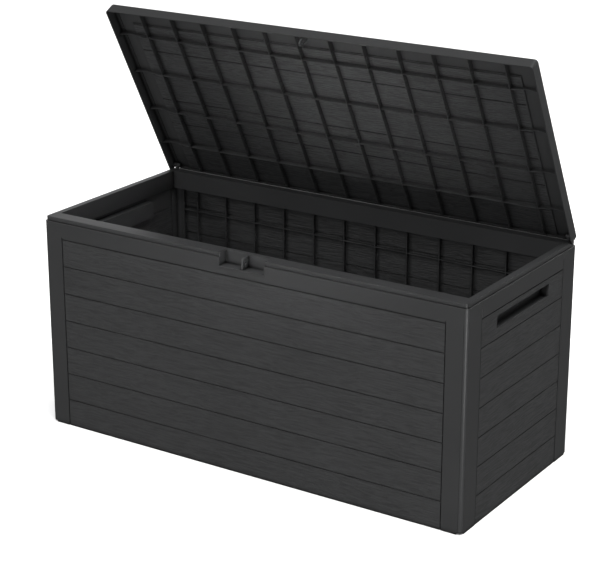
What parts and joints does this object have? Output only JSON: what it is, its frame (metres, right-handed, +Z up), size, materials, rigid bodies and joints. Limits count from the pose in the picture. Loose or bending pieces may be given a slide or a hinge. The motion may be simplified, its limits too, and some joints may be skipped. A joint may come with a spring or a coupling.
{
  "type": "deck storage box",
  "caption": "Long rectangular outdoor storage box with boarded wall panels, finger slots in both ends, a padlock recess and a ribbed lid hinged along the back.",
  "frame": {"origin": "centre of the floor's middle runner where it rests on the ground, under the middle of the box", "axes": "+Z up, +X to the right along the front wall, -Y out of the front wall, where the padlock recess is"},
  "size_m": [1.2, 0.5482, 1.0435],
  "materials": {
    "boards": "satin anthracite, wood-grain texture",
    "smooth": "satin anthracite, smooth",
    "hardware": "satin grey, smooth",
    "screws": "zinc plated"
  },
  "bodies": {
    "box": {"front_wall": "boards", "rear_wall": "boards", "left_wall": "boards", "right_wall": "boards", "floor_panel": "boards", "front_left_corner_post": "smooth", "front_right_corner_post": "smooth", "rear_left_corner_post": "smooth", "rear_right_corner_post": "smooth", "front_rim": "smooth", "rear_rim": "smooth", "left_rim": "smooth", "right_rim": "smooth", "latch_tray": "smooth", "left_handle_cup": "smooth", "right_handle_cup": "smooth", "left_hinge_bracket": "smooth", "right_hinge_bracket": "smooth", "lock_staple": "hardware", "left_hinge_pin": "hardware", "right_hinge_pin": "hardware", "left_hinge_screw_1": "screws", "left_hinge_screw_2": "screws", "right_hinge_screw_1": "screws", "right_hinge_screw_2": "screws"},
    "lid": {"lid_shell": "boards", "lock_eye": "hardware"}
  },
  "joints": [
    {"name": "lid_hinge", "type": "hinge", "parent": "box", "child": "lid", "pos_m": [0, 0.2635, 0.566], "axis": [-1, 0, 0], "range_deg": [-62, 33]}
  ]
}
